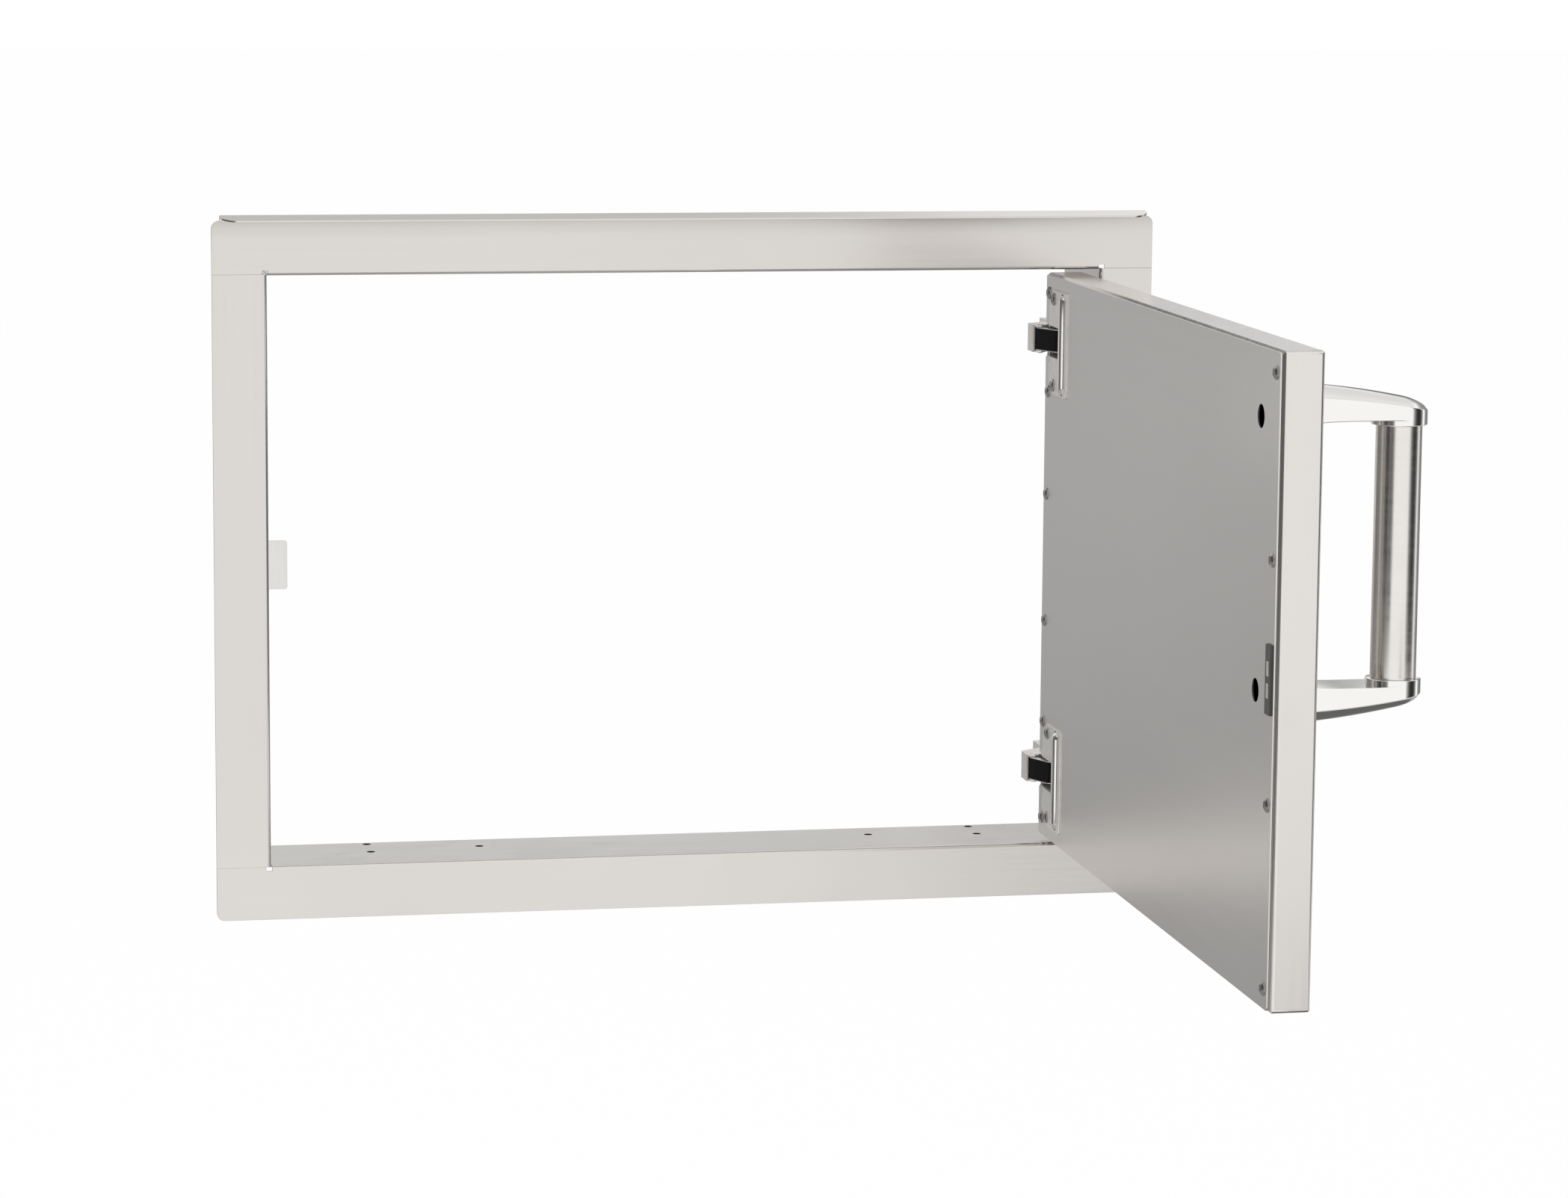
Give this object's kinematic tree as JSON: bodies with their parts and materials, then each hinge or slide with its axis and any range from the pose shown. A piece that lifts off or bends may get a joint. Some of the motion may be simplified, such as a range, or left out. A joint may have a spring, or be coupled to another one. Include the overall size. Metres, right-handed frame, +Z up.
{
  "type": "kitchen island access door",
  "caption": "Stainless frame and hollow access door for an outdoor kitchen island, on concealed cup hinges, with a bar handle and a magnetic catch.",
  "frame": {"origin": "centre of the opening, on the front plane of the face flange", "axes": "+X to the right seen from the front, towards the hinges; +Y into the island; +Z up"},
  "size_m": [0.613, 0.582, 0.4323],
  "materials": {
    "frame_steel": "satin brushed stainless steel",
    "door_steel": "satin brushed stainless steel, folded",
    "liner_steel": "dull rolled stainless steel",
    "bright_steel": "bright machined steel",
    "nickel_plate": "nickel plated steel",
    "chrome_plate": "polished chrome plate",
    "grip_steel": "brushed round the tube",
    "zinc": "die-cast zinc, matt",
    "black_plastic": "black moulded plastic",
    "dark_plastic": "dark grey moulded plastic",
    "magnet": "sintered ferrite"
  },
  "bodies": {
    "frame": {"top_rail": "frame_steel", "bottom_rail": "frame_steel", "left_stile": "frame_steel", "right_stile": "frame_steel", "strike_plate": "frame_steel", "strike_rivets": "bright_steel", "mounting_plates": "zinc", "mounting_screws": "bright_steel", "mounting_nuts": "bright_steel", "hinge_arms": "nickel_plate", "arm_screws": "bright_steel", "arm_pivot_pins": "nickel_plate"},
    "door": {"door_pan": "door_steel", "door_liner": "liner_steel", "liner_screws": "bright_steel", "cup_bodies": "nickel_plate", "cup_flanges": "nickel_plate", "cup_screws": "bright_steel", "cup_pins": "nickel_plate", "damper_barrels": "chrome_plate", "damper_pistons": "zinc", "catch_housing": "dark_plastic", "catch_poles": "zinc", "catch_magnet": "magnet", "handle_bracket_upper": "chrome_plate", "handle_bracket_lower": "chrome_plate", "handle_collars": "chrome_plate", "handle_grip": "grip_steel", "handle_tie_rod": "zinc", "handle_screws": "bright_steel", "handle_washers": "bright_steel"},
    "links": {"outer_links": "nickel_plate", "link_covers": "black_plastic"}
  },
  "joints": [
    {"name": "door_swing", "type": "hinge", "parent": "frame", "child": "door", "pos_m": [0.2452, 0.0079, 0], "axis": [0, 0, 1], "range_deg": [-90, 5]},
    {"name": "link_swing", "type": "hinge", "parent": "frame", "child": "links", "pos_m": [0.2265, 0.021, 0], "axis": [0, 0, 1], "range_deg": [-1.3, 20.9]}
  ],
  "couplings": [
    {"joint": "link_swing", "follows": "door_swing", "ratio": -0.2307}
  ]
}
